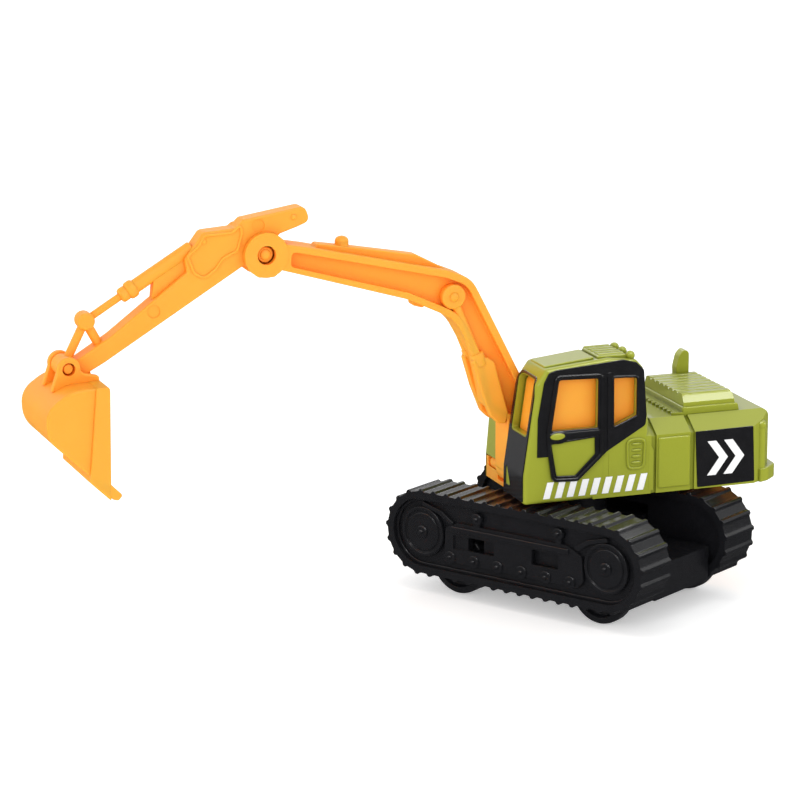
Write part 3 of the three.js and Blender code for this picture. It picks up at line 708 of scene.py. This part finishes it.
hood_foot = slab([
    (HOOD_FRONT, DECK - 1.1), (HOOD_FRONT, DECK + 1.5, 0.4), (HOOD_REAR + 0.2, DECK + 1.5, 0.6),
    (HOOD_REAR + 0.8, DECK - 1.1),
], -HOOD_HALF, HOOD_HALF)
shell += [soften(hood, 0.2, 3, 40), soften(hood_foot, 0.55, 4)]

# A row of louvres lies on the deck in front of the hood, and a fin-shaped exhaust
# stands at its far rear corner.
teeth = [(20.2, 9.9), (20.2, -9.9)]
for tooth in range(11):
    y = -9.6 + tooth * 1.85
    teeth += [(18.7, y), (17.7, y + 0.3), (17.9, y + 1.2)]
louvres = slab(teeth, DECK - 0.5, DECK + 0.5, "z")
shell.append(soften(louvres, 0.14, 2))
exhaust = slab([
    (26.6, 39.5), (26.5, 41.8, 1.5), (27.1, 44.3, 1.6), (28.2, 45.5, 1.0), (29.3, 44.9, 1.2),
    (29.3, 39.5),
], 7.6, 10.0)
shell.append(soften(exhaust, 1.0, 6, 50))

# Roof: a flat raised panel, a ribbed cover and three small lamps across the back.
UNDER_ROOF = 48
roof_panel = slab([
    (-10.9, UNDER_ROOF), (-10.9, 49.55, 0.4), (-0.4, 50.65, 0.4), (-0.4, UNDER_ROOF),
], -12.3, -5.0)
shell.append(soften(roof_panel, 0.3, 3))
roof_cover = slab([
    (0.2, UNDER_ROOF), (0.2, 50.75, 0.4), (6.4, 50.75, 0.6), (7.0, UNDER_ROOF),
], -12.6, -4.6)
shell.append(soften(roof_cover, 0.35, 3))
for rib in range(5):
    y = -12.0 + rib * 1.7
    shell.append(soften(block(0.6, 6.2, y, y + 1.1, 50.1, 51.0), 0.35, 3))
for y in (-12.4, -8.5, -4.7):
    shell.append(ball(7.2, y, 50.35, 0.95))

# Counterweight: a bead down each rear corner and a lip round its foot.
RIDGE_X = 36.0
RIDGE_TOP = 33.7
for side in (-1, 1):
    ridge_y = side * 11.75
    ridge = rod((RIDGE_X, ridge_y, 24), (RIDGE_X, ridge_y, RIDGE_TOP), 1.35)
    knob = ball(RIDGE_X, ridge_y, RIDGE_TOP, 1.5, (1, 1, 0.8))
    lip = slab([
        (35.2, side * 12), (35.6, side * 13.6, 1.2), (37.8, side * 12.6, 1.6),
        (40.4, side * 10.2, 2), (40.7, side * 6, 1), (40.4, side * 3, 0.4), (38, side * 2),
    ], FLOOR - 0.1, FLOOR + 2.8, "z")
    shell += [ridge, knob, soften(lip, 1.15, 6, 50)]
body_shell = gather("body_shell", shell)
fit(body_shell, green, HOUSE_PLACE, "house", "green_paint", "house_body")

# ---- printed paint on the body ----
# Glossy black paint covers the cab's window surrounds, its front, its rear pane and a
# panel on each side of the engine body. Plain white bars and two chevrons are printed on
# the cab's side. The door handle and the side vent are raised in the green shell.
black_paint = Finish(
    "black_paint", Coat_Weight=0.8, Coat_Roughness=0.03, Specular_IOR_Level=0.35,
)
brushed_on = black_paint.noise(2.2, 2)
black_paint.set(
    Base_Color=black_paint.blend(brushed_on, (0.005, 0.005, 0.006), (0.011, 0.011, 0.013)),
    Roughness=0.16 + brushed_on * 0.14,
)
black_paint.bump(brushed_on, 0.06, 0.5)


def bead(points, y, radius):
    """A raised round line through points of the side view, closed on itself."""
    curve = bpy.data.curves.new("bead", "CURVE")
    curve.dimensions = "3D"
    curve.bevel_depth = radius
    curve.bevel_resolution = 3
    spline = curve.splines.new("POLY")
    spline.points.add(len(points) - 1)
    spline.use_cyclic_u = True
    for point, (x, z) in zip(spline.points, points):
        point.co = (x, y, z, 1)
    line = bpy.data.objects.new("bead", curve)
    bpy.context.collection.objects.link(line)
    bpy.ops.object.select_all(action="DESELECT")
    line.select_set(True)
    bpy.context.view_layer.objects.active = line
    bpy.ops.object.convert(target="MESH")
    return bpy.context.object


SURROUND = [
    (-12.95, 31.7, 0.2), (-12.85, 39.4, 3), (-11.6, 46.6, 1.5), (-10.6, 48.5, 1.0), (-9.0, 48.95, 0.8),
    (5.2, 49.95, 1.5), (8.0, 49.2, 1.2), (9.6, 47.6, 1), (10.3, 38.5, 1.0), (10.1, 36.4, 1),
    (2.0, 31.8, 1.5), (-4.1, 26.6, 0.8), (-9.5, 26.7, 1.2), (-10.5, 34.0, 0.6), (-10.5, 31.7, 0.2),
]
FRONT_PANE = [(-10.3, 36.6, 0.5), (0.05, 36.5, 0.5), (0.05, 46.9, 0.8), (-8.7, 47.2, 0.9)]
REAR_PANE = [(3.0, 36.3, 0.5), (8.3, 38.4, 0.5), (8.3, 46.4, 0.9), (2.9, 46.7, 0.6)]
DOOR_PANEL = [
    (-10.2, 34.3, 0.3), (-0.6, 35.0, 0.3), (-0.5, 31.4, 0.6), (-4.8, 27.3, 0.5), (-9.0, 27.5, 0.6),
]
DOOR = [
    (-10.7, 36.3, 1), (-9.0, 47.6, 1), (0.6, 47.3, 1), (0.6, 31.2, 1.5), (-4.5, 26.7, 0.8),
    (-9.5, 26.9, 1), (-10.6, 34.0, 1),
]
surround = slab(SURROUND, NEAR - 0.16, NEAR + 0.5)
carve(surround, *(slab(hole, NEAR - 1, NEAR + 1) for hole in (FRONT_PANE, REAR_PANE, DOOR_PANEL)))
soften(surround, 0.1, 3, 50)
sill = slab([
    (-10.6, 34.9, 0.3), (-10.6, 36.4, 0.3), (0.4, 36.4, 0.3), (0.4, 35.3, 0.3),
], NEAR - 0.5, NEAR)
pillar = slab([
    (1.9, 32.2, 0.4), (1.7, 47.6, 0.4), (2.6, 47.8, 0.4), (2.8, 32.8, 0.4),
], NEAR - 0.4, NEAR)
lines = [
    bead(rounded(DOOR), NEAR - 0.2, 0.42), bead(rounded(REAR_PANE), NEAR - 0.16, 0.3),
    bead(rounded(FRONT_PANE), NEAR - 0.16, 0.3), bead(rounded(DOOR_PANEL), NEAR - 0.12, 0.2),
]
grip_seat = ball(-8.5, NEAR - 0.2, 35.5, 1.0, (2.4, 0.6, 1.35))
window_surround = gather("cab_window_surround", [
    surround, soften(sill, 0.2, 3), soften(pillar, 0.2, 3), grip_seat, *lines,
])
fit(window_surround, black_paint, HOUSE_PLACE, "house", "green_paint")

far_surround = slab([
    (-12.6, 35.2, 0.5), (-11.6, 46.6, 1.5), (-9.0, 48.6, 1.2), (5.2, 49.7, 1.5), (9.4, 47.6, 1.2),
    (10.2, 36.0, 0.6),
], CAB_FAR - 0.5, CAB_FAR + 0.16)
carve(far_surround, *(slab(hole, CAB_FAR - 1, CAB_FAR + 1) for hole in (FRONT_PANE, REAR_PANE)))
soften(far_surround, 0.1, 3, 50)
far_lines = [bead(rounded(hole), CAB_FAR + 0.16, 0.22) for hole in (FRONT_PANE, REAR_PANE)]
far_window_surround = gather("cab_far_surround", [far_surround, *far_lines])
fit(far_window_surround, black_paint, HOUSE_PLACE, "house", "green_paint")

front_paint = slab(cab_outline(-0.14, FLOOR + 0.7), NEAR + 0.5, CAB_FAR - 0.1)
carve(front_paint, slab(cab_outline(0.5, FLOOR - 2), NEAR - 1, CAB_FAR + 1))
carve(front_paint, slab([
    (-13.3, FLOOR + 0.3, 0.6), (-13.3, 44.0, 3), (-12.4, 47.4, 1.2), (-4.6, 47.5, 1.2),
    (-3.7, 44.5, 1.5), (-3.7, FLOOR + 0.3, 0.5),
], -18, -11, "x"), how="INTERSECT")
carve(front_paint, slab([
    (-12.55, 35.6, 0.8), (-4.65, 35.6, 0.8), (-4.65, 47.1, 1.4), (-12.55, 47.1, 1.4),
], -18, -10, "x"))
carve(front_paint, slab([
    (-4.7, 24.6, 0.3), (-7.2, 24.6, 0.5), (-4.9, 29.5, 0.5),
], -18, -10, "x"))
soften(front_paint, 0.08, 2, 50)
front_paint.name = "cab_front_paint"
fit(front_paint, black_paint, HOUSE_PLACE, "house", "green_paint")

rear_pane = slab([
    (-12.0, 38.5, 0.8), (-12.0, 45.6, 1), (-5.3, 45.6, 1), (-5.3, 38.5, 0.8),
], 9.0, 11.2, "x")
carve(rear_pane, slab(cab_outline(-0.13, FLOOR), -14, -3), how="INTERSECT")
soften(rear_pane, 0.06, 2, 50)
rear_pane.name = "cab_rear_pane"
fit(rear_pane, black_paint, HOUSE_PLACE, "house", "green_paint")

side_panels = []
for face, side in ((NEAR, -1), (HALF_WIDTH, 1)):
    span = sorted((face + side * 0.1, face - side * 0.6))
    panel = slab([
        (20.95, 34.0, 0.3), (33.6, 34.1, 0.3), (34.1, 22.75, 0.3), (21.6, 22.55, 0.3),
    ], *span)
    side_panels.append(soften(panel, 0.07, 3))
fit(gather("side_panels", side_panels), black_paint, HOUSE_PLACE, "house", "green_paint")

handle = ball(-8.8, NEAR - 0.55, 35.75, 1.0, (1.6, 0.4, 0.72))
handle.name = "door_handle"
fit(handle, green, HOUSE_PLACE, "house", "green_paint")

vent = [bead(rounded([
    (6.4, 27.7, 1.2), (6.2, 33.6, 1.2), (10.0, 33.6, 1.2), (9.8, 27.7, 1.2),
]), NEAR, 0.3)]
for louvre in range(4):
    z = 28.9 + louvre * 1.25
    vent.append(ball(8.2, NEAR, z, 0.42, (2.6, 0.9, 0.8)))
fit(gather("side_vent", vent), green, HOUSE_PLACE, "house", "green_paint")

white_ink = Finish("white_ink")
speckle = white_ink.noise(0.4, 3)
white_ink.set(
    Base_Color=white_ink.blend(speckle, (0.86, 0.87, 0.86), (0.96, 0.96, 0.95)),
    Roughness=0.45 + speckle * 0.15,
)
BARS = 9
BAR_PITCH = 2.5
bars = []
for bar in range(BARS):
    x = -11.6 + bar * BAR_PITCH
    bars.append(slab([
        (x, 23.2), (x + 0.9, 26.5), (x + 2.3, 26.5), (x + 1.4, 23.2),
    ], NEAR - 0.05, NEAR + 0.2))
for x in (23.6, 27.2):
    bars.append(slab([
        (x, 24.8), (x + 2.6, 28.3), (x, 31.8), (x + 1.9, 31.8), (x + 4.5, 28.3), (x + 1.9, 24.8),
    ], NEAR - 0.16, NEAR + 0.2))
fit(gather("printed_bars", bars), white_ink, HOUSE_PLACE, "house", "green_paint")

# ---- boom ----
# An orange I-section moulding with dummy cylinders moulded on its sides and top. Pins at
# its foot sit in the body floor, and its fork takes the stick's pegs.
ARM_Y = 0.25
BOOM_FOOT = (-12.6, 25.5)
STICK_PIVOT = (-64.5, 73.6)
BUCKET_PIVOT = (-103.9, 54.6)
BOOM_HALF = 3.35
STICK_HALF = 2.0
GAP = 0.3
gap_span = (ARM_Y - STICK_HALF - GAP, ARM_Y + STICK_HALF + GAP)
near, far = ARM_Y - BOOM_HALF, ARM_Y + BOOM_HALF

beam = slab([
    (-62, 70.6, 1), (-61.5, 75.6, 1), (-55.8, 74.5), (-27.4, 68.0, 8), (-22.4, 65.9, 6),
    (-19.5, 60.4, 6), (-9.3, 40.4, 3), (-9.6, 36.5, 2), (-10.5, 25.5, 1), (-14.8, 25.5, 1),
    (-14.8, 37.0, 1), (-19.1, 39.8, 2), (-21.5, 50.0, 6), (-26.0, 58.2, 9), (-36, 62.9, 6),
], near, far)
soften(beam, 0.35, 4, 50)
for face, side in ((near, -1), (far, 1)):
    span = sorted((face + side, face - side * 1.75))
    web = slab([
        (-59.6, 71.0, 1), (-59.4, 73.9, 1), (-27.7, 66.5, 7), (-23.4, 64.7, 5), (-20.9, 59.8, 5),
        (-11.0, 40.6, 2), (-12.8, 37.2, 1), (-17.9, 40.4, 2), (-20.3, 50.4, 6), (-24.9, 59.2, 9),
        (-35.4, 64.1, 6),
    ], *span)
    carve(beam, web)
fork_disc = rod_y(*STICK_PIVOT, 4.35, near - 0.12, far + 0.12, 72)
fork_heel = slab([
    (-68.2, 71.5, 1), (-66.3, 69.4, 1.2), (-63.0, 69.3, 1.2), (-60.4, 71.4, 0.8), (-64.7, 75),
], near - 0.12, far + 0.12)
carve(fork_disc, fork_heel, how="UNION")
fork_gap = rod_y(*STICK_PIVOT, 4.95, *gap_span, 72)
open_end = block(-75, STICK_PIVOT[0] - 0.04, *gap_span, 60, 85)
carve(fork_gap, open_end, how="UNION")
fork_bore = rod_y(*STICK_PIVOT, 1.85, near - 1, far + 1, 48)
spare_gap = duplicate(fork_gap)
carve(fork_disc, fork_gap, fork_bore)
carve(beam, spare_gap)
soften(beam, 0.2, 3, 60)
soften(fork_disc, 0.3, 3, 60)
boom_pieces = [beam, fork_disc]

top_tube = slab([
    (-54.8, 73.3), (-53.6, 74.75, 0.7), (-46, 73.5), (-33.4, 71.2, 0.8), (-26.4, 67.5, 1), (-30, 67.4),
], ARM_Y - 1.5, ARM_Y + 1.5)
boom_pieces.append(soften(top_tube, 0.6, 4, 50))
peg = rod((-48.2, ARM_Y, 71), (-48.2, ARM_Y, 74.7), 1.35)
boom_pieces += [peg, ball(-48.2, ARM_Y, 74.7, 1.35, (1, 1, 0.75))]
boom_pieces.append(soften(slab([
    (-34.2, 63.0), (-34.0, 61.1, 0.5), (-31.9, 60.5, 0.5), (-31.0, 61.8),
], ARM_Y - 1.5, ARM_Y + 1.5), 0.3, 3))
for face, side in ((near, -1), (far, 1)):
    span = sorted((face + side * 0.05, face - side * 1.9))
    tube = slab([
        (-21.7, 50.4, 1), (-22.2, 49.0, 0.6), (-20.5, 43.3, 1), (-18.4, 38.0, 1.2), (-16.8, 36.4, 1.2),
        (-15.0, 36.2, 0.8), (-14.6, 38.5, 1), (-17.6, 48.9, 1.2), (-18.9, 49.9, 0.8),
    ], *span)
    boom_pieces.append(soften(tube, 0.4, 4, 50))
    middle = face - side * 1.0
    boom_pieces.append(rod((-26.2, middle, 62.3), (-19.6, middle, 46.5), 0.95))
    collar = rod((-21.2, middle, 50.9), (-20.1, middle, 48.3), 1.35)
    boom_pieces.append(soften(collar, 0.35, 3))
    eye = rod_y(-26.2, 62.6, 2.5, *sorted((face + side * 0.1, face - side * 1.9)), 48)
    boom_pieces += [soften(eye, 0.5, 4), ball(-26.2, face - side * 0.1, 62.6, 1.0, (1, 0.8, 1))]
foot = rod_y(*BOOM_FOOT, 2.1, near, far, 48)
pins = rod_y(*BOOM_FOOT, 1.3, -6.4, 8.5, 40)
boom_pieces += [soften(foot, 0.3, 3), soften(pins, 0.25, 3)]
boom = gather("boom_moulding", boom_pieces)
fit(boom, orange, HOUSE_PLACE, "boom_arm", "orange_plastic", "boom")

# ---- stick ----
# One orange moulding: a flat beam with a lever at the back, a stiffening patch outlined by
# a raised bead, and a dummy cylinder on a web with its push rod and link.
near, far = ARM_Y - STICK_HALF, ARM_Y + STICK_HALF
beam = slab([
    (-61.6, 77.2, 0.8), (-57.8, 78.4, 1.2), (-55.2, 79.4, 1.8), (-56.2, 82.4, 1.6), (-68.6, 80.5, 1),
    (-70.2, 79.0, 1.5), (-76.6, 78.6, 1.5), (-78.4, 76.2, 1.5), (-80.4, 73.6, 1.2), (-79.9, 71.2, 0.6),
    (-95, 59.9), (-101.6, 55.9), (-105.4, 55.2, 1.5), (-105.0, 52.7, 1.5), (-100.2, 52.9, 1.5),
    (-96.4, 54.9, 1), (-68.6, 71.6, 1), (-62.2, 70.6, 2),
], near, far)
soften(beam, 0.42, 4, 50)
for face, side in ((near, -1), (far, 1)):
    for x, z, radius in ((-65.7, 79.2, 1.3), (-86.6, 64.1, 1.3)):
        dent = rod_y(x, z, radius, *sorted((face + side, face - side * 0.18)), 40)
        carve(beam, dent)
soften(beam, 0.09, 2, 70)
stick_pieces = [beam]
PATCH = [
    (-69.2, 79.6, 0.8), (-69.0, 77.9, 0.6), (-69.9, 74.6, 1.2), (-71.6, 73.9, 0.8), (-72.8, 73.3, 0.8),
    (-74.2, 71.5, 1.2), (-76.6, 69.7, 1.4), (-78.6, 71.0, 1.4), (-79.8, 74.2, 0.6), (-77.6, 76.0, 1),
    (-76.4, 78.0, 0.8), (-71.0, 78.2, 1),
]
for face in (near, far):
    stick_pieces.append(bead(rounded(PATCH), face, 0.32))
    for x, z in ((-58.6, 80.4), (-76.5, 76.9)):
        stick_pieces.append(ball(x, face, z, 0.55, (1, 0.6, 1)))
hub = rod_y(*STICK_PIVOT, 3.9, near, far, 64)
pegs = rod_y(*STICK_PIVOT, 1.5, ARM_Y - BOOM_HALF + 0.7, ARM_Y + BOOM_HALF - 0.7, 40)
stick_pieces += [soften(hub, 0.3, 3), soften(pegs, 0.2, 3)]
for side in (-1, 1):
    peg_end = ARM_Y + side * (BOOM_HALF - 0.75)
    stick_pieces.append(ball(STICK_PIVOT[0], peg_end, STICK_PIVOT[1], 1.1, (1, 0.5, 1)))
tip = rod_y(*BUCKET_PIVOT, 2.0, near, far, 48)
tip_pegs = rod_y(*BUCKET_PIVOT, 0.95, ARM_Y - 3.3, ARM_Y + 3.3, 32)
stick_pieces += [soften(tip, 0.3, 3), soften(tip_pegs, 0.2, 3)]


def on_arm(x, z):
    return x, ARM_Y, z


tube = rod(on_arm(-78.4, 75.5), on_arm(-90.0, 68.6), 1.35)
web = slab([(-78.0, 75.2), (-86.2, 70.6), (-86.7, 65.6, 0.3), (-79.0, 70.6)], ARM_Y - 1.0, ARM_Y + 1.0)
collar = rod(on_arm(-89.6, 68.8), on_arm(-91.3, 67.8), 1.75)
second_collar = rod(on_arm(-91.0, 68.0), on_arm(-92.7, 67.0), 1.45)
push_rod = rod(on_arm(-92.4, 67.2), on_arm(-99.4, 63.0), 0.72)
knuckle = rod_y(-99.65, 63.0, 1.7, ARM_Y - 1.7, ARM_Y + 1.7, 40)
link = rod(on_arm(-99.9, 62.3), on_arm(-103.4, 55.4), 0.85)
strut = rod(on_arm(-99.3, 62.4), on_arm(-96.7, 57.6), 0.9)
stick_pieces += [soften(part, width, 3) for part, width in (
    (tube, 0.3), (web, 0.2), (collar, 0.6), (second_collar, 0.6), (push_rod, 0.15), (knuckle, 0.5),
    (link, 0.2), (strut, 0.2),
)]
stick = gather("stick_moulding", stick_pieces)
fit(stick, orange, HOUSE_PLACE, "stick_arm", "orange_plastic", "stick")

# ---- bucket ----
# An orange scoop with rounded back corners, a flat band round its mouth, a plain blade
# and two ears on the stick's pegs. It is moulded in one piece, about a millimetre thick.
BUCKET_HALF = 10.0
near, far = ARM_Y - BUCKET_HALF, ARM_Y + BUCKET_HALF


def scoop(inset):
    """The bucket's side view, moved inwards; an inset one reaches out through the mouth."""
    mouth = -90 if inset else -97.7
    return [
        (mouth, 52 - inset), (-105.0, 51.8 - inset, 8), (-110.1 + inset, 48.2, 8),
        (-109.7 + inset, 42.6 + inset * 0.5, 6), (-98.5, 31.9 + inset * 1.41),
        (mouth, (31.9 if inset else 31.1) + inset * 1.41),
    ]


outer = slab(scoop(0), near + 0.5, far - 0.5)
soften(outer, 1.3, 6, 60)
inner = slab(scoop(1.2), near + 1.7, far - 1.7)
soften(inner, 0.6, 4, 60)
carve(outer, inner)
soften(outer, 0.18, 2, 62)
band = slab([(-97.6, 52.1, 0.8), (-100.3, 52.1, 0.5), (-101.9, 33.9), (-97.8, 30.0)], near, far)
mouth = slab([
    (-90, 50.9), (-104, 50.9), (-104, 37.7), (-97.7, 33.3), (-90, 32.7),
], near + 1.6, far - 1.6)
carve(band, mouth)
soften(band, 0.3, 3, 50)
blade = slab([
    (-101.6, 34.6), (-101.0, 33.2), (-97.4, 30.2, 0.4), (-96.4, 29.9, 0.6), (-95.5, 30.9, 0.6),
    (-99.6, 35),
], near + 0.06, far - 0.06)
bucket_pieces = [outer, band, soften(blade, 0.3, 3, 50)]
for inner_face, side in zip(gap_span, (-1, 1)):
    span = sorted((inner_face, inner_face + side * 1.5))
    ear = slab([
        (-107.4, 50.4), (-97.9, 51.0), (-98.0, 52.9, 0.6), (-100.9, 53.6, 0.6), *(
            (BUCKET_PIVOT[0] + 2.3 * math.cos(turn), BUCKET_PIVOT[1] + 2.3 * math.sin(turn))
            for turn in (math.radians(degrees) for degrees in range(-12, 193, 12))
        ),
    ], *span)
    soften(ear, 0.35, 4, 45)
    carve(ear, rod_y(*BUCKET_PIVOT, 1.27, span[0] - 1, span[1] + 1, 40))
    bucket_pieces.append(ear)
bucket = gather("bucket_moulding", bucket_pieces)
fit(bucket, orange, HOUSE_PLACE, "bucket_shell", "orange_plastic", "bucket")
